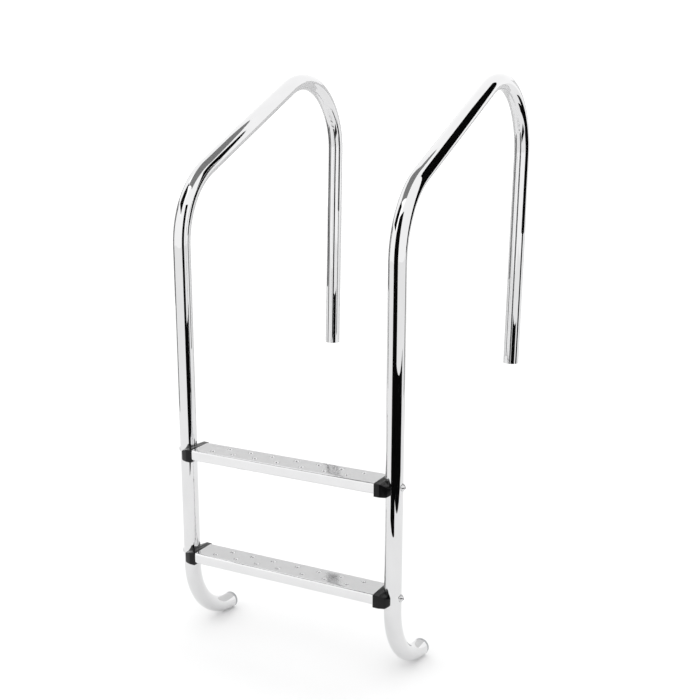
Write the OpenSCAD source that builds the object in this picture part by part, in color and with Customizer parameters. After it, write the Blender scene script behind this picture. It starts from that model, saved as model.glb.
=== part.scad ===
// Two-step pool ladder: two bent tube rails, two folded sheet treads held
// between them by plastic end caps, and a bumper at the foot of each rail.
// +X runs across the ladder, +Y points from the pool to the deck, +Z is up.
// The origin is midway between the lower ends of the two deck legs.

/* [Rails] */
// Distance between the axes of the two rails
rail_spacing = 520; // [500:5:600]
// Outside diameter of the rail tube
tube_d = 38; // [36:0.5:42]
// Wall thickness of the rail tube
tube_wall = 1.5; // [1.2:0.1:2.5]
// Straight leg in the water, from the foot hook to the first bend
leg_len = 744; // [650:1:900]
// Radius of the bend from the leg to the handrail slope
lean_r = 183; // [120:1:220]
// Angle of the handrail slope from the vertical
lean_turn = 65.2; // [55:0.1:75]
// Straight length of the handrail slope
slope_len = 396; // [300:1:450]
// Radius of the crown bend above the deck
crown_r = 173; // [120:1:200]
// Angle by which the deck leg leans in towards the pool
deck_toe_in = 1.9; // [0:0.1:4]
// Straight length of the deck leg
deck_leg_len = 519; // [400:1:700]

/* [Foot hooks] */
// Radius of the hook at the foot of the leg
hook_r = 159; // [100:1:180]
// Angle that the hook turns through
hook_turn = 87; // [75:1:90]
// Length of the bumper's collar beyond the end of the tube
bumper_collar = 8; // [5:0.5:15]
// Length of the bumper's stem inside the tube
bumper_stem = 18; // [10:1:25]

/* [Treads] */
// Distance from a rail's axis to the end of a tread
tread_inset = 31; // [30:0.5:32]
// Depth of a tread, from front to back
tread_depth = 68; // [60:1:70]
// Height of a tread's folded skirt
tread_h = 24.5; // [22:0.5:30]
// Thickness of the tread's sheet
sheet_t = 1.5; // [1:0.1:2]
// Outside radius of the folds
fold_r = 4.5; // [3:0.5:6]
// Width of the lip folded in along each lower edge
lip_w = 12; // [8:1:20]
// Height of the lower bolts above the start of the hook
lower_bolt_z = 30; // [25:1:60]
// Rise from one tread to the next
step_rise = 250; // [220:5:300]

/* [Bumps] */
// Bumps in each half of a tread
bumps_per_half = 7; // [3:1:8]
// Distance from the tread's middle to the first bump
bump_start = 17.5; // [12:0.5:20]
// Distance along the tread from one bump to the next
bump_pitch = 27.7; // [20:0.1:28]
// Distance of each row of bumps from the tread's centre line
bump_row_y = 14; // [10:0.5:20]
// Radius of a bump at its base
bump_r = 6.5; // [4:0.5:7]
// Height of a bump above the tread
bump_h = 2.2; // [1.5:0.1:2.5]

/* [End caps] */
// Depth of an end cap, from front to back
cap_depth = 72; // [70:1:80]
// Height of an end cap
cap_h = 29; // [28:0.5:32]
// Distance by which the tips of the cap's ears pass the rail's axis
ear_reach = 3; // [2:0.5:4]
// Length of the cap's level top, beyond the tread's end
cap_flat = 13.5; // [10:0.5:16]
// Drop of the sloping top from the level part to the ear tips
cap_drop = 8; // [4:0.5:10]
// Length of the spigot inside the tread
spigot_len = 30; // [24:1:40]
// Wall thickness of the spigot and of the cap's hollow
cap_wall = 2.5; // [2:0.5:3]
// Gap between the spigot and the tread
spigot_gap = 0.2; // [0.1:0.1:0.4]

/* [Fasteners] */
// Diameter of the bolt shank
bolt_d = 8; // [6:1:8]
// Length of the bolt under its head
bolt_len = 70; // [68:1:72]
// Diameter of the domed head
head_d = 14; // [12:0.5:15]
// Height of the domed head
head_h = 4.6; // [4:0.1:5.5]
// Width across the flats of the head's hex socket
socket_af = 5; // [4:1:5]
// Depth of the hex socket
socket_depth = 2.6; // [2:0.1:3]
// Diameter of the saddle washer
washer_d = 16.5; // [15:0.5:18]
// Thickness of the saddle washer outside the tube's crest
washer_t = 2; // [1.5:0.5:3]
// Width across the flats of the captive nut
nut_af = 13; // [12:0.5:13]
// Thickness of the captive nut
nut_t = 6.5; // [5:0.5:7]
// Clearance of a bolt hole on its diameter
hole_clearance = 0.5; // [0.3:0.1:0.8]

/* [Hidden] */
$fn = 96;

// Sides and levels
left = -1;
right = 1;
lower = 0;
upper = 1;

// Rail
rail_x = rail_spacing / 2;
tube_r = tube_d / 2;
joint_lap = 0.2;
joint_rise = 0.01;
crown_turn = 180 - lean_turn + deck_toe_in;
// The deck leg's lower end, seen from the start of the hook
deck_y = lean_r * (1 - cos(lean_turn)) + slope_len * sin(lean_turn)
  + crown_r * (cos(lean_turn) + cos(deck_toe_in)) - deck_leg_len * sin(deck_toe_in);
deck_z = leg_len + lean_r * sin(lean_turn) + slope_len * cos(lean_turn)
  - crown_r * (sin(lean_turn) + sin(deck_toe_in)) - deck_leg_len * cos(deck_toe_in);

// Tread and end cap, seen from the bolt's axis
tread_top = 11.5;
tread_end = rail_x - tread_inset;
cap_top = tread_top;
cap_bottom = cap_top - cap_h;
cap_len = tread_inset + ear_reach;
ear_nose = [5, 5.5];
ear_tip_back = 13;
chin = [8, 4.5];
boss_w = 22;
core_end = 11;

// Fasteners
bolt_r = bolt_d / 2;
hole_r = bolt_r + hole_clearance / 2;
washer_face = rail_x + tube_r + washer_t;
nut_set_in = 14;
nut_near = tread_end - nut_set_in;
nut_fit = 0.1;
hex_ratio = 2 / sqrt(3);

// Bumper
bumper_gap = 1;
bumper_round = 2;

// Cutting tools run past the faces they cut by this much
over = 1;
huge = 200;

// Place a shape that is drawn from the start of the hook into the ladder's own frame.
module in_frame() translate([0, -deck_y, -deck_z]) children();

// Place a shape that is drawn from the bolt axis of one tread.
module at_tread(level) in_frame() translate([0, 0, lower_bolt_z + level * step_rise]) children();

// Mirror a right-hand shape for the left side.
module on_side(side) {
  if (side == left) mirror([1, 0, 0]) children();
  else children();
}

// Straight run of round bar along +Z, with the children at its far end.
module run(length, r) {
  if (length > 0) cylinder(h = length, r = r);
  translate([0, 0, length]) children();
}

// Bend of round bar from +Z towards +Y, with the children at its far end.
module turn(bend_r, angle, r) {
  translate([0, bend_r, 0]) {
    rotate([90, 0, -90])
      rotate_extrude(angle = angle)
        translate([bend_r, 0]) rotate(-90) circle(r = r);
    rotate([-angle, 0, 0]) translate([0, -bend_r, 0]) children();
  }
}

// Thin sleeve over the joint between a straight run and a bend, which makes them one solid.
module joint(r) {
  cylinder(h = 2 * joint_lap, r = r + joint_rise, center = true);
  children();
}

// The rail's route as a round bar of radius r, past each end by extra.
module rail_route(r, extra) {
  run(leg_len, r) joint(r)
    turn(lean_r, lean_turn, r) joint(r)
      run(slope_len, r) joint(r)
        turn(crown_r, crown_turn, r) joint(r)
          run(deck_leg_len + extra, r);
  mirror([0, 0, 1]) joint(r)
    turn(hook_r, hook_turn, r)
      if (extra > 0) joint(r) run(extra, r);
}

// Place a shape at the toe of the hook, with +Z pointing out of the tube.
module at_toe() {
  translate([0, hook_r, 0])
    rotate([hook_turn, 0, 0])
      translate([0, -hook_r, 0])
        mirror([0, 0, 1]) children();
}

// Round bar along +X from x0 to x1.
module bar_x(x0, x1, r) translate([x0, 0, 0]) rotate([0, 90, 0]) cylinder(h = x1 - x0, r = r);

// Hexagonal bar along +X from x0 to x1.
module hex_x(x0, x1, af) {
  translate([x0, 0, 0]) rotate([0, 90, 0]) cylinder(h = x1 - x0, r = af / 2 * hex_ratio, $fn = 6);
}

// Rectangle from y0 to y1 with round corners, width w, centred on x.
module round_rect(w, y0, y1, r) {
  translate([-w / 2 + r, y0]) square([w - 2 * r, y1 - y0]);
  translate([-w / 2, y0 + r]) square([w, y1 - y0 - 2 * r]);
  for (x = [-w / 2 + r, w / 2 - r], y = [y0 + r, y1 - r]) translate([x, y]) circle(r = r);
}

// Stand a section, drawn across the ladder's depth and height, along +X from x0 to x1.
module along_x(x0, x1) {
  translate([x0, 0, 0]) rotate([90, 0, 90]) linear_extrude(height = x1 - x0) children();
}

// One bent tube, drilled for the bolts of both treads.
module rail(side) {
  color("gainsboro")
    on_side(side)
      in_frame()
        translate([rail_x, 0, 0])
          difference() {
            rail_route(tube_r, 0);
            rail_route(tube_r - tube_wall, over);
            for (level = [lower, upper])
              translate([0, 0, lower_bolt_z + level * step_rise])
                bar_x(-tube_d, tube_d, hole_r);
          }
}

// Cross-section of a tread: a channel with lips folded in along its lower edges.
module tread_section() {
  difference() {
    round_rect(tread_depth, tread_top - tread_h, tread_top, fold_r);
    round_rect(
      tread_depth - 2 * sheet_t,
      tread_top - tread_h + sheet_t,
      tread_top - sheet_t,
      fold_r - sheet_t
    );
    translate([-tread_depth / 2 + lip_w, tread_top - tread_h - over])
      square([tread_depth - 2 * lip_w, sheet_t + 2 * over]);
  }
}

// Put a shape at each bump; the two halves of the tread are a half turn apart.
module at_bumps() {
  for (half = [0, 180], i = [0:bumps_per_half - 1])
    rotate([0, 0, half])
      translate([bump_start + i * bump_pitch, i % 2 == 0 ? bump_row_y : -bump_row_y, tread_top])
        children();
}

// One folded sheet tread with its pressed bumps.
module tread(level) {
  dome_r = (bump_r * bump_r + bump_h * bump_h) / (2 * bump_h);
  dome_down = dome_r - bump_h;
  color("whitesmoke")
    at_tread(level)
      difference() {
        union() {
          along_x(-tread_end, tread_end) tread_section();
          at_bumps()
            intersection() {
              translate([0, 0, -dome_down]) sphere(r = dome_r);
              translate([-dome_r, -dome_r, -sheet_t / 2]) cube([2 * dome_r, 2 * dome_r, dome_r]);
            }
        }
        at_bumps() translate([0, 0, -dome_down]) sphere(r = dome_r - sheet_t);
      }
}

// Outline of an end cap from above: a flat front and two ears with cut corners.
module cap_plan() {
  y = cap_depth / 2;
  nose_x = cap_len - ear_nose[0];
  half = [[0, y], [cap_flat, y], [nose_x, y - ear_nose[1]], [cap_len, y - ear_tip_back]];
  polygon(concat(half, [for (i = [len(half) - 1:-1:0]) [half[i][0], -half[i][1]]]));
}

// Outline of an end cap from the front: level top, sloping shoulder and cut chin.
module cap_profile() {
  polygon([
    [0, cap_bottom],
    [cap_len - chin[0], cap_bottom],
    [cap_len, cap_bottom + chin[1]],
    [cap_len, cap_top - cap_drop],
    [cap_flat, cap_top],
    [0, cap_top]
  ]);
}

// The cap's outer body, from the tread's end to the ear tips.
module cap_body() {
  translate([tread_end, 0, 0])
    intersection() {
      translate([0, 0, cap_bottom - over]) linear_extrude(height = cap_h + 2 * over) cap_plan();
      translate([0, cap_depth / 2 + over, 0])
        rotate([90, 0, 0])
          linear_extrude(height = cap_depth + 2 * over) cap_profile();
    }
}

// Section of the spigot, smaller than the tread's inside by the inset.
module spigot_section(inset) {
  loss = sheet_t + inset;
  round_rect(
    tread_depth - 2 * loss,
    tread_top - tread_h + loss,
    tread_top - loss,
    max(fold_r - loss, 0.5)
  );
}

// One plastic end cap: spigot in the tread, saddle round the rail, pocket for the nut.
module end_cap(level, side) {
  inner = tread_end - spigot_len;
  wall_inset = spigot_gap + cap_wall;
  color("#1c1c1e")
    on_side(side)
      at_tread(level)
        difference() {
          union() {
            cap_body();
            along_x(inner, tread_end) spigot_section(spigot_gap);
          }
          // Hollows in front of and behind the nut's boss
          difference() {
            along_x(inner - over, tread_end + core_end) spigot_section(wall_inset);
            translate([inner - 2 * over, -boss_w / 2, -huge / 2])
              cube([spigot_len + core_end + 4 * over, boss_w, huge]);
          }
          // Saddle for the rail
          translate([rail_x, 0, -huge / 2]) cylinder(h = huge, r = tube_r);
          // Bolt hole and nut pocket
          bar_x(inner - over, rail_x, hole_r);
          hex_x(inner - over, nut_near + nut_t, nut_af + 2 * nut_fit);
        }
}

// One dome-headed bolt with a hex socket.
module bolt(level, side) {
  dome_r = (head_d * head_d / 4 + head_h * head_h) / (2 * head_h);
  color("silver")
    on_side(side)
      at_tread(level)
        difference() {
          union() {
            bar_x(washer_face - bolt_len, washer_face, bolt_r);
            translate([washer_face, 0, 0])
              rotate([0, 90, 0])
                rotate_extrude()
                  intersection() {
                    translate([0, head_h - dome_r]) circle(r = dome_r);
                    square([head_d, head_h]);
                  }
          }
          hex_x(washer_face + head_h - socket_depth, washer_face + head_h + over, socket_af);
        }
}

// One washer, flat under the bolt head and hollowed to sit on the tube.
module saddle_washer(level, side) {
  color("lightgray")
    on_side(side)
      at_tread(level)
        difference() {
          bar_x(rail_x + tube_r / 2, washer_face, washer_d / 2);
          translate([rail_x, 0, -huge / 2]) cylinder(h = huge, r = tube_r);
          bar_x(rail_x, washer_face + over, hole_r);
        }
}

// One hexagonal nut in the pocket of an end cap.
module nut(level, side) {
  color("darkgray")
    on_side(side)
      at_tread(level)
        difference() {
          hex_x(nut_near, nut_near + nut_t, nut_af);
          bar_x(nut_near - over, nut_near + nut_t + over, bolt_r);
        }
}

// One plastic bumper: a stem in the tube and a collar with a rounded edge.
module toe_bumper(side) {
  stem_r = tube_r - tube_wall - bumper_gap;
  color("lightslategray")
    on_side(side)
      in_frame()
        translate([rail_x, 0, 0])
          at_toe()
            rotate_extrude() {
              translate([0, -bumper_stem]) square([stem_r, bumper_stem + over]);
              square([tube_r, bumper_collar - bumper_round]);
              square([tube_r - bumper_round, bumper_collar]);
              translate([tube_r - bumper_round, bumper_collar - bumper_round]) circle(r = bumper_round);
            }
}

rail(left);  // rail_left
rail(right);  // rail_right
tread(upper);  // tread_upper
tread(lower);  // tread_lower
end_cap(upper, left);  // end_cap_upper_left
end_cap(upper, right);  // end_cap_upper_right
end_cap(lower, left);  // end_cap_lower_left
end_cap(lower, right);  // end_cap_lower_right
bolt(upper, left);  // bolt_upper_left
bolt(upper, right);  // bolt_upper_right
bolt(lower, left);  // bolt_lower_left
bolt(lower, right);  // bolt_lower_right
saddle_washer(upper, left);  // saddle_washer_upper_left
saddle_washer(upper, right);  // saddle_washer_upper_right
saddle_washer(lower, left);  // saddle_washer_lower_left
saddle_washer(lower, right);  // saddle_washer_lower_right
nut(upper, left);  // nut_upper_left
nut(upper, right);  // nut_upper_right
nut(lower, left);  // nut_lower_left
nut(lower, right);  // nut_lower_right
toe_bumper(left);  // toe_bumper_left
toe_bumper(right);  // toe_bumper_right
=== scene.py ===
import math

import bmesh
import bpy
from mathutils import Matrix, Vector
from mathutils.geometry import delaunay_2d_cdt


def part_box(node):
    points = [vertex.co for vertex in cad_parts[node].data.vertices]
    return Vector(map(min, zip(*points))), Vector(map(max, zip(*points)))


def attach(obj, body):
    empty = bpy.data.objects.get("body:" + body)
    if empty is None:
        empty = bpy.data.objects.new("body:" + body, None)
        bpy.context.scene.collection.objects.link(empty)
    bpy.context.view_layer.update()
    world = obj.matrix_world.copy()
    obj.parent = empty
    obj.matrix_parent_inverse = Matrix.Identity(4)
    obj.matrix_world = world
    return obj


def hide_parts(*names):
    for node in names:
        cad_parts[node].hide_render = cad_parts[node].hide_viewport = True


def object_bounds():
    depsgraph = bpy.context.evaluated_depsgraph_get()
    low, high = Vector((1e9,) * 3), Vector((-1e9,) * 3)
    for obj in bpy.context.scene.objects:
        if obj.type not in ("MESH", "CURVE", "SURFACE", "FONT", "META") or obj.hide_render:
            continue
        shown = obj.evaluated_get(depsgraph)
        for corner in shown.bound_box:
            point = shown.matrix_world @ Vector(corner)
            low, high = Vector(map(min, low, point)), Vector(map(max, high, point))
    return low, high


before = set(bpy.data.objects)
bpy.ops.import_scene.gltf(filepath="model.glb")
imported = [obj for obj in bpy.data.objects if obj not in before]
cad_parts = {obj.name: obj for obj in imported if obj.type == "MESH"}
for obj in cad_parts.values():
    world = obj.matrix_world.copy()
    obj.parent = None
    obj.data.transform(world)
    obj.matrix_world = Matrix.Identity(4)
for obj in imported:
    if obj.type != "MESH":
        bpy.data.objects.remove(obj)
cad_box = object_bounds()

# Sizes are in metres, in the ladder's own frame: +X across the ladder, +Y from
# the pool to the deck, +Z up, origin midway between the ends of the deck legs.

BODY = "root"
LEVELS = ("upper", "lower")
SIDES = {"left": -1, "right": 1}

# Rail tube, from the deck end to the toe
RAIL_LOW, RAIL_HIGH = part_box("rail_right")
RAIL_X = (RAIL_LOW.x + RAIL_HIGH.x) / 2
TUBE_R = 0.019
TUBE_WALL = 0.0015
DECK_TOE_IN = math.radians(1.9)
LEAN_TURN = math.radians(65.2)
CROWN_TURN = math.pi - LEAN_TURN + DECK_TOE_IN
HOOK_TURN = math.radians(87)
# Each part of the route: straight length, or radius of a bend, and its turn
RAIL_ROUTE = (
    (0.519, 0.0),
    (0.173, CROWN_TURN),
    (0.396, 0.0),
    (0.183, LEAN_TURN),
    (0.744, 0.0),
    (0.159, HOOK_TURN),
)
STRAIGHT_STEP = 0.024
BEND_STEP = math.radians(1.5)
JOINT_STEP = 0.001
TUBE_SIDES = 96
CUT_EDGE = 0.0003

# Treads, seen from the axis of their bolts
TREAD_TOP = 0.0115
TREAD_H = 0.0245
SHEET = 0.0015
FOLD_R = 0.0045
LIP = 0.012
FOLD_STEPS = 8
BUMPS_PER_HALF = 7
BUMP_START = 0.0175
BUMP_PITCH = 0.0277
BUMP_ROW_Y = 0.014
BUMP_R = 0.0065
BUMP_H = 0.0022
BUMP_RINGS = 9
BUMP_SIDES = 40
BUMP_MARGIN = 0.0004
# Power that draws the flank of a bump out towards its foot
BUMP_FLANK = 2
# The triangulation keeps what lies inside its first loop, and merges closer points
INSIDE_ONLY = 1
MERGE_DISTANCE = 1e-7

# End caps, seen from the tread's end on the axis of the bolt
CAP_OUT = 0.034
CAP_FLAT = 0.0135
CAP_DROP = 0.008
CAP_H = 0.029
EAR_NOSE = (0.005, 0.0055)
EAR_TIP_BACK = 0.013
CHIN = (0.008, 0.0045)
CAP_EDGE = 0.0011
SADDLE_EDGE = 0.0004
SPIGOT_LEN = 0.030
SPIGOT_GAP = 0.0002
SPIGOT_LEAST_R = 0.0005
CAP_WALL = 0.0025
BOSS_W = 0.022
CORE_END = 0.011
NUT_AF = 0.0132
NUT_END = 0.0075

# Fasteners
BOLT_R = 0.004
HOLE_R = 0.00425
BOLT_LEN = 0.070
THREAD_LEN = 0.030
THREAD_PITCH = 0.00125
THREAD_DEPTH = 0.0007
HEAD_R = 0.007
HEAD_H = 0.0046
SOCKET_AF = 0.005
SOCKET_DEPTH = 0.0026
WASHER_R = 0.00825
WASHER_EDGE = 0.0005
LATHE_SIDES = 64

# Bumpers
COLLAR = 0.008
COLLAR_ROUND = 0.002
STEM = 0.018
STEM_GAP = 0.001
DISH_R = 0.011
DISH_DEPTH = 0.0006

HEX_RATIO = 2 / math.sqrt(3)
# Overlap of a cutting tool past the face it cuts
OVER = 0.001
# Faces that meet at more than this are shaded with a sharp edge between them
SHARP_ANGLE = math.radians(32)

# Camera
LENS_MM = 58.5
SENSOR_MM = 36
CAMERA_AT = Vector((1.206, -2.720, 0.695))
CAMERA_YAW = math.radians(28.8)
CAMERA_PITCH = math.radians(15)
CAMERA_ROLL = math.radians(-0.15)
CAMERA_SHIFT = (0.038, 0.054)
CLIP_NEAR = 0.1
CLIP_FAR = 60

# Studio
WORLD_LIGHT = 1.25
FLOOR_HALF = 8
FLOOR_ALBEDO = 0.87
# Albedos of the cards that the steel mirrors
BLACK_CARD = 0.003
DARK_CARD = 0.25
PALE_CARD = 0.7
LAMP_SIZE = 2.4
LAMP_WATTS = 6
LAMP_FROM = Vector((-1.2, -1.6, 2.6))


# ---------------------------------------------------------------- mesh helpers


def evaluated_mesh(obj):
    """The object's mesh with its modifiers applied."""
    graph = bpy.context.evaluated_depsgraph_get()
    return bpy.data.meshes.new_from_object(obj.evaluated_get(graph))


def apply_modifiers(obj):
    mesh = evaluated_mesh(obj)
    obj.modifiers.clear()
    obj.data = mesh
    return obj


def object_from(name, bm):
    """A new object that holds the bmesh, which is freed."""
    bmesh.ops.recalc_face_normals(bm, faces=bm.faces[:])
    mesh = bpy.data.meshes.new(name)
    bm.to_mesh(mesh)
    bm.free()
    obj = bpy.data.objects.new(name, mesh)
    bpy.context.scene.collection.objects.link(obj)
    return obj


def cut_or_join(obj, tool, operation):
    """Boolean with a tool object, which is removed."""
    modifier = obj.modifiers.new(operation, "BOOLEAN")
    modifier.object = tool
    modifier.operation = operation
    modifier.solver = "EXACT"
    apply_modifiers(obj)
    bpy.data.objects.remove(tool)
    return obj


def round_edges(obj, width, segments, angle):
    """Rounds every edge that is sharper than the angle."""
    modifier = obj.modifiers.new("round", "BEVEL")
    modifier.width = width
    modifier.segments = segments
    modifier.limit_method = "ANGLE"
    modifier.angle_limit = angle
    modifier.use_clamp_overlap = True
    return apply_modifiers(obj)


def shade(obj):
    """Smooth shading, with sharp edges where faces meet at a steep angle."""
    bm = bmesh.new()
    bm.from_mesh(obj.data)
    for face in bm.faces:
        face.smooth = True
    for edge in bm.edges:
        edge.smooth = len(edge.link_faces) == 2 and edge.calc_face_angle() < SHARP_ANGLE
    bm.to_mesh(obj.data)
    bm.free()
    return obj


def finish_piece(obj, node, material):
    """Puts the material on, and lets the piece stand for its CAD node."""
    obj.data.materials.clear()
    obj.data.materials.append(material)
    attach(obj, BODY)
    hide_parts(node)
    return obj


def rings_to_bmesh(rings, closed):
    """Skins equal rings of points; closed joins the last ring to the first."""
    bm = bmesh.new()
    loops = [[bm.verts.new(p) for p in ring] for ring in rings]
    count = len(loops[0])
    pairs = list(zip(loops, loops[1:]))
    if closed:
        pairs.append((loops[-1], loops[0]))
    for a, b in pairs:
        for i in range(count):
            j = (i + 1) % count
            bm.faces.new((a[i], a[j], b[j], b[i]))
    return bm


def lathe(name, profile, sides=LATHE_SIDES):
    """Turns a profile of (distance along +X, radius) about the X axis.

    A profile that starts or ends on the axis is closed there.
    """
    bm = bmesh.new()
    loops = []
    for x, r in profile:
        if r == 0:
            loops.append([bm.verts.new((x, 0, 0))])
            continue
        angles = [math.tau * i / sides for i in range(sides)]
        loops.append([bm.verts.new((x, r * math.cos(a), r * math.sin(a))) for a in angles])
    for a, b in zip(loops, loops[1:]):
        for i in range(sides):
            j = (i + 1) % sides
            corners = (a[i % len(a)], a[j % len(a)], b[j % len(b)], b[i % len(b)])
            bm.faces.new(list(dict.fromkeys(corners)))
    return object_from(name, bm)


def upright_tube(x, reach, sides):
    """A solid the size of the rail tube, to cut with: upright at x, from -reach to +reach."""
    tube = lathe("tube", [(-reach, 0), (-reach, TUBE_R), (reach, TUBE_R), (reach, 0)], sides)
    tube.data.transform(Matrix.Translation((x, 0, 0)) @ Matrix.Rotation(math.pi / 2, 4, "Y"))
    return tube


def prism(name, outline, x0, x1):
    """A closed outline of (y, z) points, stood along X from x0 to x1."""
    bm = bmesh.new()
    ends = [[bm.verts.new((x, y, z)) for y, z in outline] for x in (x0, x1)]
    for end in ends:
        bm.faces.new(end)
    for i in range(len(outline)):
        j = (i + 1) % len(outline)
        bm.faces.new((ends[0][i], ends[0][j], ends[1][j], ends[1][i]))
    return object_from(name, bm)


def circle_points(r, sides=LATHE_SIDES):
    angles = [math.tau * i / sides for i in range(sides)]
    return [(r * math.cos(a), r * math.sin(a)) for a in angles]


def hexagon(across_flats):
    return circle_points(across_flats / 2 * HEX_RATIO, sides=6)


def arc(cy, cz, r, start, end, steps):
    """Points (y, z) along an arc, with the angles in degrees."""
    angles = [math.radians(start + (end - start) * i / steps) for i in range(steps + 1)]
    return [(cy + r * math.cos(a), cz + r * math.sin(a)) for a in angles]


def place(obj, x, y, z, mirrored):
    """Moves the mesh itself, mirrored to the left side where that is asked."""
    move = Matrix.Translation((x, y, z))
    if mirrored:
        move = Matrix.Scale(-1, 4, (1, 0, 0)) @ move
    obj.data.transform(move)
    if mirrored:
        obj.data.flip_normals()
    return obj


# ---------------------------------------------------------------------- rails


def rail_stations():
    """Stations (y, z, heading, distance) along the rail's centre line, deck end first."""
    y = z = distance = 0.0
    heading = DECK_TOE_IN
    stations = [(y, z, heading, distance)]
    for size, turn in RAIL_ROUTE:
        if turn:
            cy = y - size * math.cos(heading)
            cz = z + size * math.sin(heading)
            steps = round(turn / BEND_STEP)
            for i in range(1, steps + 1):
                h = heading - turn * i / steps
                at = distance + size * turn * i / steps
                stations.append((cy + size * math.cos(h), cz - size * math.sin(h), h, at))
            distance += size * turn
        else:
            steps = round((size - 2 * JOINT_STEP) / STRAIGHT_STEP)
            inner = [JOINT_STEP + (size - 2 * JOINT_STEP) * i / steps for i in range(steps + 1)]
            for at in (*inner, size):
                point = (y + at * math.sin(heading), z + at * math.cos(heading))
                stations.append((*point, heading, distance + at))
            distance += size
        y, z, heading, _ = stations[-1]
    return stations


def tube_ring(x, station, radius, shift=0.0):
    """A ring of the tube at a station, moved along the route by shift."""
    y, z, heading, _ = station
    y += shift * math.sin(heading)
    z += shift * math.cos(heading)
    ring = []
    for i in range(TUBE_SIDES):
        a = math.tau * i / TUBE_SIDES
        out = radius * math.sin(a)
        ring.append((x + radius * math.cos(a), y - out * math.cos(heading), z + out * math.sin(heading)))
    return ring


def add_tube_uv(mesh, distances):
    """UV in metres: round the tube, then along it, so that drawn lines follow the bends."""
    uv = mesh.uv_layers.new(name="along")
    for face in mesh.polygons:
        sides = [mesh.loops[k].vertex_index % TUBE_SIDES for k in face.loop_indices]
        wraps = max(sides) - min(sides) > 1
        for k, side in zip(face.loop_indices, sides):
            ring = mesh.loops[k].vertex_index // TUBE_SIDES
            turn = side + TUBE_SIDES if wraps and side == 0 else side
            uv.data[k].uv = (turn / TUBE_SIDES * math.tau * TUBE_R, distances[ring])


def make_rail(side, steel):
    x = RAIL_X
    stations = rail_stations()
    inner_r = TUBE_R - TUBE_WALL
    skins = []
    for radius, path, sign in ((TUBE_R, stations, 1), (inner_r, stations[::-1], -1)):
        lip = radius - sign * CUT_EDGE
        skins.append((path[0], lip, 0.0))
        skins.append((path[0], radius, sign * CUT_EDGE))
        skins += [(station, radius, 0.0) for station in path[1:-1]]
        skins.append((path[-1], radius, -sign * CUT_EDGE))
        skins.append((path[-1], lip, 0.0))
    rings = [tube_ring(x, station, radius, shift) for station, radius, shift in skins]
    rail = object_from(f"{side}_rail", rings_to_bmesh(rings, closed=True))
    add_tube_uv(rail.data, [station[3] + shift for station, _, shift in skins])
    for level in LEVELS:
        low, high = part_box(f"bolt_{level}_right")
        hole = prism("hole", circle_points(HOLE_R), x - 2 * TUBE_R, x + 2 * TUBE_R)
        place(hole, 0, (low.y + high.y) / 2, (low.z + high.z) / 2, False)
        cut_or_join(rail, hole, "DIFFERENCE")
    place(rail, 0, 0, 0, SIDES[side] < 0)
    return finish_piece(shade(rail), f"rail_{side}", steel)


# --------------------------------------------------------------------- treads


def skirt_profile(depth):
    """Outer face of the front half of the folded sheet, from the lip's edge to the top."""
    y0 = -depth / 2
    bottom = TREAD_TOP - TREAD_H
    return [
        (y0 + LIP, bottom),
        *arc(y0 + FOLD_R, bottom + FOLD_R, FOLD_R, 270, 180, FOLD_STEPS),
        *arc(y0 + FOLD_R, TREAD_TOP - FOLD_R, FOLD_R, 180, 90, FOLD_STEPS),
    ]


def bump_centres():
    """The two halves of a tread are a half turn apart."""
    for half in (1, -1):
        for i in range(BUMPS_PER_HALF):
            row = BUMP_ROW_Y if i % 2 == 0 else -BUMP_ROW_Y
            yield half * (BUMP_START + i * BUMP_PITCH), half * row


def add_bump(bm, cx, cy):
    """A pressed bump, with its foot blended into the sheet; gives back its outer ring."""
    previous = [bm.verts.new((cx, cy, TREAD_TOP + BUMP_H))]
    for k in range(1, BUMP_RINGS + 2):
        share = min(k / BUMP_RINGS, 1)
        r = BUMP_R * share + (BUMP_MARGIN if k > BUMP_RINGS else 0)
        z = TREAD_TOP + BUMP_H * math.cos(math.pi / 2 * share**BUMP_FLANK) ** 2
        ring = [bm.verts.new((cx + c, cy + s, z)) for c, s in circle_points(r, BUMP_SIDES)]
        for i in range(BUMP_SIDES):
            j = (i + 1) % BUMP_SIDES
            corners = (previous[i % len(previous)], ring[i], ring[j], previous[j % len(previous)])
            bm.faces.new(list(dict.fromkeys(corners)))
        previous = ring
    return previous


def fill_top(bm, corners, rings, centres):
    """Flat sheet between the top's corners and the rings round the bumps."""
    loops = [corners, *rings]
    verts = [v for loop in loops for v in loop]
    edges = []
    start = 0
    for loop in loops:
        edges += [(start + i, start + (i + 1) % len(loop)) for i in range(len(loop))]
        start += len(loop)
    flat = [Vector(v.co.xy) for v in verts]
    _, _, triangles, _, _, _ = delaunay_2d_cdt(flat, edges, [], INSIDE_ONLY, MERGE_DISTANCE)
    for triangle in triangles:
        middle = sum((flat[i] for i in triangle), Vector((0, 0))) / 3
        if all((middle - Vector(c)).length > BUMP_R for c in centres):
            bm.faces.new([verts[i] for i in triangle])


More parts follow.
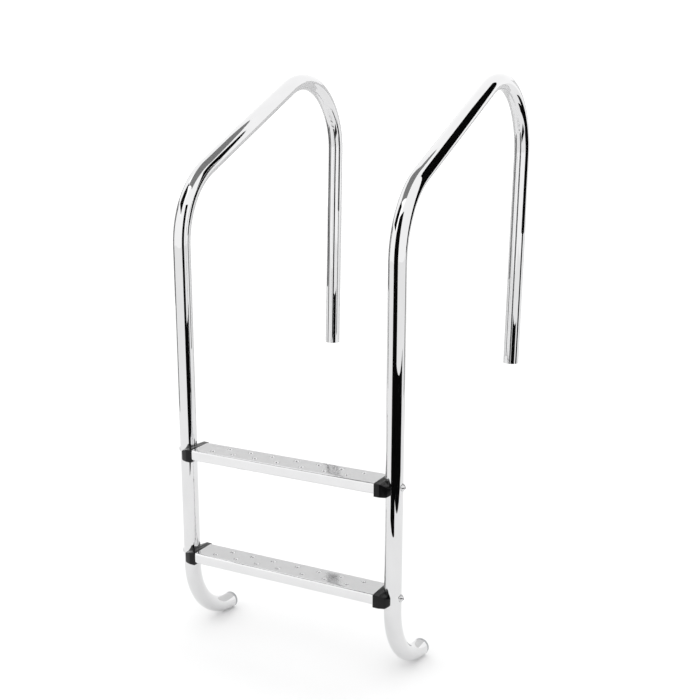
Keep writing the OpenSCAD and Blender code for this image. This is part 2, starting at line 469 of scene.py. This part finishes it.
def make_tread(level, steel):
    low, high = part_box(f"tread_{level}")
    middle = (low + high) / 2
    depth = high.y - low.y
    bm = bmesh.new()
    profile = skirt_profile(depth)
    corners = {}
    for front in (1, -1):
        ends = [[bm.verts.new((x, front * y, z)) for y, z in profile] for x in (low.x, high.x)]
        for i in range(len(profile) - 1):
            bm.faces.new((ends[0][i], ends[1][i], ends[1][i + 1], ends[0][i + 1]))
        corners[front] = (ends[0][-1], ends[1][-1])
    outline = [*corners[1], *reversed(corners[-1])]
    centres = list(bump_centres())
    rings = [add_bump(bm, *centre) for centre in centres]
    fill_top(bm, outline, rings, centres)
    tread = object_from(f"{level}_tread", bm)
    if tread.data.polygons[0].normal.z > 0:
        tread.data.flip_normals()
    sheet = tread.modifiers.new("sheet", "SOLIDIFY")
    sheet.thickness = SHEET
    sheet.offset = -1
    sheet.use_even_offset = True
    apply_modifiers(tread)
    axis_z = high.z - BUMP_H - TREAD_TOP
    place(tread, 0, middle.y, axis_z, False)
    return finish_piece(shade(tread), f"tread_{level}", steel)


# ------------------------------------------------------------------- end caps


def rounded_rectangle(width, z0, z1, r, steps=4):
    y = width / 2 - r
    return [
        *arc(y, z1 - r, r, 0, 90, steps),
        *arc(-y, z1 - r, r, 90, 180, steps),
        *arc(-y, z0 + r, r, 180, 270, steps),
        *arc(y, z0 + r, r, 270, 360, steps),
    ]


def spigot_outline(depth, inset):
    loss = SHEET + inset
    return rounded_rectangle(
        depth - 2 * loss,
        TREAD_TOP - TREAD_H + loss,
        TREAD_TOP - loss,
        max(FOLD_R - loss, SPIGOT_LEAST_R),
    )


def cut_corner(bm, a, b, inside):
    """Cuts off what lies past the line from a to b, on the side away from inside.

    The cutting plane stands upright where a and b have one height, and runs
    from front to back where they don't.
    """
    across = Vector((0, 0, 1)) if a.z == b.z else Vector((0, 1, 0))
    normal = (b - a).cross(across).normalized()
    if normal.dot(inside - a) > 0:
        normal.negate()
    everything = bm.verts[:] + bm.edges[:] + bm.faces[:]
    cut = bmesh.ops.bisect_plane(bm, geom=everything, plane_co=a, plane_no=normal, clear_outer=True)
    edges = [e for e in cut["geom_cut"] if isinstance(e, bmesh.types.BMEdge)]
    bmesh.ops.contextual_create(bm, geom=edges)


def cap_body(depth):
    """The cap's outer body: two ears with cut corners, a sloping shoulder and a cut chin."""
    y = depth / 2
    top = TREAD_TOP
    bottom = top - CAP_H
    bm = bmesh.new()
    bmesh.ops.create_cube(bm, size=1)
    size = Matrix.Diagonal((CAP_OUT, depth, CAP_H, 1))
    middle = Matrix.Translation((CAP_OUT / 2, 0, (top + bottom) / 2))
    bmesh.ops.transform(bm, verts=bm.verts, matrix=middle @ size)
    inside = Vector((CAP_FLAT / 2, 0, (top + bottom) / 2))
    for s in (1, -1):
        shoulder = Vector((CAP_FLAT, s * y, 0))
        nose = Vector((CAP_OUT - EAR_NOSE[0], s * (y - EAR_NOSE[1]), 0))
        tip = Vector((CAP_OUT, s * (y - EAR_TIP_BACK), 0))
        cut_corner(bm, shoulder, nose, inside)
        cut_corner(bm, nose, tip, inside)
    cut_corner(bm, Vector((CAP_FLAT, 0, top)), Vector((CAP_OUT, 0, top - CAP_DROP)), inside)
    chin = Vector((CAP_OUT - CHIN[0], 0, bottom))
    cut_corner(bm, chin, Vector((CAP_OUT, 0, bottom + CHIN[1])), inside)
    body = object_from("cap", bm)
    return round_edges(body, width=CAP_EDGE, segments=4, angle=math.radians(8))


def make_cap_mesh(depth, tread_depth, saddle_x):
    """One right-hand end cap, with x from the tread's end."""
    cap = cap_body(depth)
    cut_or_join(cap, prism("spigot", spigot_outline(tread_depth, SPIGOT_GAP), -SPIGOT_LEN, OVER), "UNION")
    hollow = spigot_outline(tread_depth, SPIGOT_GAP + CAP_WALL)
    back = [(max(y, BOSS_W / 2), z) for y, z in hollow]
    front = [(min(y, -BOSS_W / 2), z) for y, z in hollow]
    for half in (back, front):
        outline = list(dict.fromkeys(half))
        cut_or_join(cap, prism("hollow", outline, -SPIGOT_LEN - OVER, CORE_END), "DIFFERENCE")
    cut_or_join(cap, upright_tube(saddle_x, CAP_H, 2 * LATHE_SIDES), "DIFFERENCE")
    cut_or_join(cap, prism("bolt_hole", circle_points(HOLE_R), -SPIGOT_LEN - OVER, saddle_x), "DIFFERENCE")
    cut_or_join(cap, prism("nut_pocket", hexagon(NUT_AF), -SPIGOT_LEN - OVER, -NUT_END), "DIFFERENCE")
    return round_edges(cap, width=SADDLE_EDGE, segments=2, angle=math.radians(50))


def make_end_cap(level, side, plastic):
    node = f"end_cap_{level}_{side}"
    low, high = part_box(node)
    tread_low, tread_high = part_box(f"tread_{level}")
    cap = make_cap_mesh(high.y - low.y, tread_high.y - tread_low.y, RAIL_X - tread_high.x)
    cap.name = f"{level}_{side}_end_cap"
    place(cap, tread_high.x, (low.y + high.y) / 2, high.z - TREAD_TOP, SIDES[side] < 0)
    return finish_piece(shade(cap), node, plastic)


# ------------------------------------------------------------------ fasteners


def dome_profile(x, r, h, steps=10):
    """Profile (x, radius) of a dome of base radius r and height h that starts at x."""
    sphere_r = (r * r + h * h) / (2 * h)
    centre = x + h - sphere_r
    span = math.asin(r / sphere_r)
    angles = [span * (1 - i / steps) for i in range(steps + 1)]
    return [(centre + sphere_r * math.cos(a), sphere_r * math.sin(a) if a else 0) for a in angles]


def make_bolt(level, side, steel):
    node = f"bolt_{level}_{side}"
    low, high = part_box(f"bolt_{level}_right")
    head_x = high.x - HEAD_H
    tip_x = head_x - BOLT_LEN
    profile = [(tip_x, 0), (tip_x, BOLT_R - THREAD_DEPTH)]
    for i in range(round(THREAD_LEN / THREAD_PITCH)):
        x = tip_x + i * THREAD_PITCH
        profile.append((x + THREAD_PITCH / 2, BOLT_R))
        profile.append((x + THREAD_PITCH, BOLT_R - THREAD_DEPTH))
    profile.append((tip_x + THREAD_LEN + THREAD_DEPTH, BOLT_R))
    profile.append((head_x, BOLT_R))
    profile.append((head_x, HEAD_R - CUT_EDGE))
    profile += dome_profile(head_x + CUT_EDGE, HEAD_R, HEAD_H - CUT_EDGE)
    bolt = lathe(f"{level}_{side}_bolt", profile)
    socket = prism("socket", hexagon(SOCKET_AF), high.x - SOCKET_DEPTH, high.x + OVER)
    cut_or_join(bolt, socket, "DIFFERENCE")
    place(bolt, 0, (low.y + high.y) / 2, (low.z + high.z) / 2, SIDES[side] < 0)
    return finish_piece(shade(bolt), node, steel)


def make_washer(level, side, steel):
    node = f"saddle_washer_{level}_{side}"
    low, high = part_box(f"saddle_washer_{level}_right")
    face = high.x
    profile = [
        (RAIL_X, HOLE_R),
        (RAIL_X, WASHER_R),
        (face - WASHER_EDGE, WASHER_R),
        (face, WASHER_R - WASHER_EDGE),
        (face, HOLE_R),
    ]
    washer = lathe(f"{level}_{side}_saddle_washer", profile)
    bm = bmesh.new()
    bm.from_mesh(washer.data)
    rims = [e for e in bm.edges if e.is_boundary]
    bmesh.ops.bridge_loops(bm, edges=rims)
    bmesh.ops.recalc_face_normals(bm, faces=bm.faces[:])
    bm.to_mesh(washer.data)
    bm.free()
    cut_or_join(washer, upright_tube(RAIL_X, TUBE_R, 2 * TUBE_SIDES), "DIFFERENCE")
    place(washer, 0, (low.y + high.y) / 2, (low.z + high.z) / 2, SIDES[side] < 0)
    return finish_piece(shade(washer), node, steel)


def make_bumper(side, plastic):
    stem_r = TUBE_R - TUBE_WALL - STEM_GAP
    rim = arc(TUBE_R - COLLAR_ROUND, 0, COLLAR_ROUND, 0, 90, 6)
    profile = [
        (-STEM, 0),
        (-STEM, stem_r - COLLAR_ROUND),
        (-STEM + COLLAR_ROUND, stem_r),
        (0, stem_r),
        (0, TUBE_R - CUT_EDGE),
        (CUT_EDGE, TUBE_R),
        *[(COLLAR - COLLAR_ROUND + x, r) for r, x in rim],
        (COLLAR, DISH_R + DISH_DEPTH),
        (COLLAR - DISH_DEPTH, DISH_R),
        (COLLAR - DISH_DEPTH, 0),
    ]
    bumper = lathe(f"{side}_toe_bumper", profile, TUBE_SIDES)
    y, z, heading, _ = rail_stations()[-1]
    direction = Vector((0, math.sin(heading), math.cos(heading)))
    turn = Vector((1, 0, 0)).rotation_difference(direction).to_matrix().to_4x4()
    bumper.data.transform(Matrix.Translation((RAIL_X, y, z)) @ turn)
    place(bumper, 0, 0, 0, SIDES[side] < 0)
    return finish_piece(shade(bumper), f"toe_bumper_{side}", plastic)


# ------------------------------------------------------------------ materials


class Surface:
    """A node material with one Principled shader and short ways to add detail to it."""

    def __init__(self, name, color, metallic, roughness):
        self.material = bpy.data.materials.new(name)
        self.material.use_nodes = True
        self.tree = self.material.node_tree
        self.shader = self.tree.nodes["Principled BSDF"]
        self.set("Base Color", (*color, 1))
        self.set("Metallic", metallic)
        self.set("Roughness", roughness)

    def set(self, socket, value):
        self.shader.inputs[socket].default_value = value

    def node(self, kind, **inputs):
        node = self.tree.nodes.new(kind)
        for key, value in inputs.items():
            node.inputs[key.replace("_", " ")].default_value = value
        return node

    def link(self, source, target):
        self.tree.links.new(source, target)

    def coordinates(self, output, scale=(1, 1, 1)):
        """Object or UV coordinates in metres, stretched by the scale."""
        source = self.tree.nodes.new("ShaderNodeTexCoord")
        mapping = self.node("ShaderNodeMapping", Scale=scale)
        self.link(source.outputs[output], mapping.inputs["Vector"])
        return mapping.outputs["Vector"]

    def noise(self, vector, scale, detail=2.0, rough=0.5):
        noise = self.node("ShaderNodeTexNoise", Scale=scale, Detail=detail, Roughness=rough)
        self.link(vector, noise.inputs["Vector"])
        return noise.outputs["Fac"]

    def range(self, value, low, high, start=0.35, end=0.65):
        ranged = self.node("ShaderNodeMapRange", From_Min=start, From_Max=end, To_Min=low, To_Max=high)
        self.link(value, ranged.inputs["Value"])
        return ranged.outputs["Result"]

    def math(self, operation, a, b):
        node = self.tree.nodes.new("ShaderNodeMath")
        node.operation = operation
        for socket, value in zip(node.inputs, (a, b)):
            if isinstance(value, (int, float)):
                socket.default_value = value
            else:
                self.link(value, socket)
        return node.outputs["Value"]

    def mix_color(self, factor, a, b):
        ramp = self.tree.nodes.new("ShaderNodeValToRGB")
        ramp.color_ramp.elements[0].color = (*a, 1)
        ramp.color_ramp.elements[1].color = (*b, 1)
        self.link(factor, ramp.inputs["Fac"])
        self.link(ramp.outputs["Color"], self.shader.inputs["Base Color"])

    def bump(self, height, strength, distance):
        bump = self.node("ShaderNodeBump", Strength=strength, Distance=distance)
        self.link(height, bump.inputs["Height"])
        self.link(bump.outputs["Normal"], self.shader.inputs["Normal"])


def polished_steel():
    """Mirror-polished tube: fine drawn lines along it and faint cloudy smears."""
    s = Surface("polished_steel", (0.7, 0.7, 0.705), metallic=1.0, roughness=0.03)
    lines = s.noise(s.coordinates("UV", (1, 0.012, 1)), scale=2600, detail=3)
    smears = s.noise(s.coordinates("UV", (1, 0.35, 1)), scale=30, detail=4, rough=0.6)
    rough = s.math("ADD", s.range(lines, 0.0, 0.015), s.range(smears, 0.01, 0.03))
    s.link(rough, s.shader.inputs["Roughness"])
    s.mix_color(smears, (0.66, 0.66, 0.665), (0.74, 0.74, 0.745))
    s.bump(lines, strength=0.06, distance=0.00005)
    return s.material


def tread_steel():
    """Bright rolled sheet: grain along the tread, with light scuffs across it."""
    s = Surface("tread_steel", (0.85, 0.855, 0.86), metallic=1.0, roughness=0.2)
    grain = s.noise(s.coordinates("Object", (0.02, 1, 1)), scale=2400, detail=3)
    scuffs = s.noise(s.coordinates("Object", (0.5, 1, 1)), scale=45, detail=5, rough=0.65)
    rough = s.math("ADD", s.range(grain, 0.0, 0.03), s.range(scuffs, 0.04, 0.09))
    s.link(rough, s.shader.inputs["Roughness"])
    s.mix_color(scuffs, (0.7, 0.7, 0.705), (0.78, 0.78, 0.785))
    s.bump(grain, strength=0.12, distance=0.0001)
    return s.material


def fastener_steel():
    """Turned and tumbled bolt steel."""
    s = Surface("fastener_steel", (0.62, 0.62, 0.625), metallic=1.0, roughness=0.15)
    tumble = s.noise(s.coordinates("Object"), scale=900, detail=4)
    s.link(s.range(tumble, 0.09, 0.2), s.shader.inputs["Roughness"])
    s.mix_color(tumble, (0.56, 0.56, 0.565), (0.68, 0.68, 0.685))
    s.bump(tumble, strength=0.15, distance=0.0001)
    return s.material


def cap_plastic():
    """Moulded black plastic: fine spark grain and a slight bloom."""
    s = Surface("cap_plastic", (0.006, 0.006, 0.007), metallic=0.0, roughness=0.3)
    s.set("Specular IOR Level", 0.2)
    grain = s.noise(s.coordinates("Object"), scale=1800, detail=4, rough=0.6)
    bloom = s.noise(s.coordinates("Object"), scale=60, detail=3)
    s.mix_color(s.math("MULTIPLY", grain, bloom), (0.002, 0.002, 0.0022), (0.008, 0.008, 0.0085))
    rough = s.math("ADD", s.range(grain, 0.0, 0.08), s.range(bloom, 0.14, 0.22))
    s.link(rough, s.shader.inputs["Roughness"])
    s.bump(grain, strength=0.25, distance=0.00012)
    return s.material


def bumper_plastic():
    """Grey moulded plastic with the same grain, scuffed a little paler."""
    s = Surface("bumper_plastic", (0.3, 0.31, 0.32), metallic=0.0, roughness=0.45)
    grain = s.noise(s.coordinates("Object"), scale=1500, detail=4, rough=0.6)
    scuffs = s.noise(s.coordinates("Object"), scale=140, detail=4, rough=0.7)
    s.mix_color(scuffs, (0.24, 0.25, 0.26), (0.42, 0.43, 0.44))
    s.link(s.range(grain, 0.38, 0.55), s.shader.inputs["Roughness"])
    s.bump(grain, strength=0.25, distance=0.00012)
    return s.material


def nut_material(node, material):
    """A CAD node whose shape is right keeps its mesh and takes a material."""
    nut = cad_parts[node]
    nut.data.materials.clear()
    nut.data.materials.append(material)


# ------------------------------------------------------------- camera and stage


def make_camera():
    data = bpy.data.cameras.new("camera")
    data.sensor_width = SENSOR_MM
    data.lens = LENS_MM
    data.shift_x, data.shift_y = CAMERA_SHIFT
    data.clip_start = CLIP_NEAR
    data.clip_end = CLIP_FAR
    camera = bpy.data.objects.new("camera", data)
    aim = Matrix.Rotation(CAMERA_YAW, 4, "Z") @ Matrix.Rotation(math.pi / 2 - CAMERA_PITCH, 4, "X")
    camera.matrix_world = Matrix.Translation(CAMERA_AT) @ aim @ Matrix.Rotation(CAMERA_ROLL, 4, "Z")
    bpy.context.scene.collection.objects.link(camera)
    bpy.context.scene.camera = camera


def plain_material(name, albedo):
    """A matt paint for what stands round the ladder."""
    material = bpy.data.materials.new(name)
    material.use_nodes = True
    shader = material.node_tree.nodes["Principled BSDF"]
    shader.inputs["Base Color"].default_value = (albedo, albedo, albedo, 1)
    shader.inputs["Roughness"].default_value = 1.0
    shader.inputs["Specular IOR Level"].default_value = 0.0
    return material


def stage_card(name, corners, albedo):
    """A matt four-cornered card that shows only in the polished steel."""
    bm = bmesh.new()
    bm.faces.new([bm.verts.new(corner) for corner in corners])
    card = object_from(name, bm)
    card.data.materials.append(plain_material(name, albedo))
    card.visible_camera = False
    card.visible_diffuse = False
    card.visible_shadow = False


def make_card(name, bearing, distance, width, bottom, top, albedo):
    """An upright card that faces the ladder.

    The bearing is in degrees from +Y towards +X, and the heights are above the floor.
    """
    low, high = cad_box
    angle = math.radians(bearing)
    middle = Vector(((low.x + high.x) / 2, (low.y + high.y) / 2, low.z))
    foot = middle + distance * Vector((math.sin(angle), math.cos(angle), 0))
    half = width / 2 * Vector((math.cos(angle), -math.sin(angle), 0))
    corners = [
        foot + side * half + Vector((0, 0, height))
        for side, height in ((-1, bottom), (1, bottom), (1, top), (-1, top))
    ]
    stage_card(name, corners, albedo)


def make_overhead_card(name, x, y, width, depth, height, albedo):
    """A level card above the ladder, at a height above the floor."""
    middle = Vector((x, y, cad_box[0].z + height))
    corners = [
        middle + Vector((i * width / 2, j * depth / 2, 0))
        for i, j in ((-1, -1), (1, -1), (1, 1), (-1, 1))
    ]
    stage_card(name, corners, albedo)


def make_floor(height):
    """A plain pale floor, plane and wide."""
    bm = bmesh.new()
    bmesh.ops.create_grid(bm, x_segments=1, y_segments=1, size=FLOOR_HALF)
    floor = object_from("floor", bm)
    floor.location = (0, 0, height)
    floor.data.materials.append(plain_material("pale_floor", FLOOR_ALBEDO))


def make_lamp(centre):
    """One wide soft light above and in front of the ladder."""
    data = bpy.data.lights.new("soft_top", "AREA")
    data.shape = "SQUARE"
    data.size = LAMP_SIZE
    data.energy = LAMP_WATTS
    data.use_shadow = False
    lamp = bpy.data.objects.new("soft_top", data)
    aim = (-LAMP_FROM).to_track_quat("-Z", "Y").to_matrix().to_4x4()
    lamp.matrix_world = Matrix.Translation(centre + LAMP_FROM) @ aim
    bpy.context.scene.collection.objects.link(lamp)


def make_world():
    world = bpy.data.worlds.new("studio")
    world.use_nodes = True
    background = world.node_tree.nodes["Background"]
    background.inputs["Color"].default_value = (1, 1, 1, 1)
    background.inputs["Strength"].default_value = WORLD_LIGHT
    bpy.context.scene.world = world


# ------------------------------------------------------------------- the scene

tube_steel = polished_steel()
sheet_steel = tread_steel()
bright_steel = fastener_steel()
black_plastic = cap_plastic()
grey_plastic = bumper_plastic()

for side in SIDES:
    make_rail(side, tube_steel)
    make_bumper(side, grey_plastic)
for level in LEVELS:
    make_tread(level, sheet_steel)
    for side in SIDES:
        make_end_cap(level, side, black_plastic)
        make_bolt(level, side, bright_steel)
        make_washer(level, side, bright_steel)
        nut_material(f"nut_{level}_{side}", bright_steel)

make_camera()
make_world()
make_floor(cad_box[0].z)
make_lamp((cad_box[0] + cad_box[1]) / 2)
make_card("camera_card", bearing=160, distance=0.8, width=0.4, bottom=0.2, top=1.5, albedo=BLACK_CARD)
make_card("right_front_card", bearing=120, distance=1.2, width=1.3, bottom=0.1, top=0.5, albedo=BLACK_CARD)
make_card("right_rear_card", bearing=60, distance=0.9, width=0.6, bottom=0.85, top=2.2, albedo=BLACK_CARD)
make_card("left_card", bearing=-105, distance=1.2, width=0.3, bottom=0.3, top=1.3, albedo=BLACK_CARD)
make_card("left_rear_card", bearing=-80, distance=1.2, width=0.5, bottom=0.6, top=1.2, albedo=BLACK_CARD)
make_card("left_high_card", bearing=-140, distance=1.2, width=0.9, bottom=1.5, top=2.5, albedo=BLACK_CARD)
make_card("back_card", bearing=-30, distance=1.2, width=3.0, bottom=0.0, top=1.5, albedo=PALE_CARD)
make_card("right_low_card", bearing=60, distance=0.9, width=0.25, bottom=0.4, top=0.85, albedo=BLACK_CARD)
make_overhead_card("overhead_card", x=-0.15, y=-0.55, width=0.9, depth=0.9, height=1.9, albedo=DARK_CARD)
bpy.context.scene.view_settings.view_transform = "Standard"
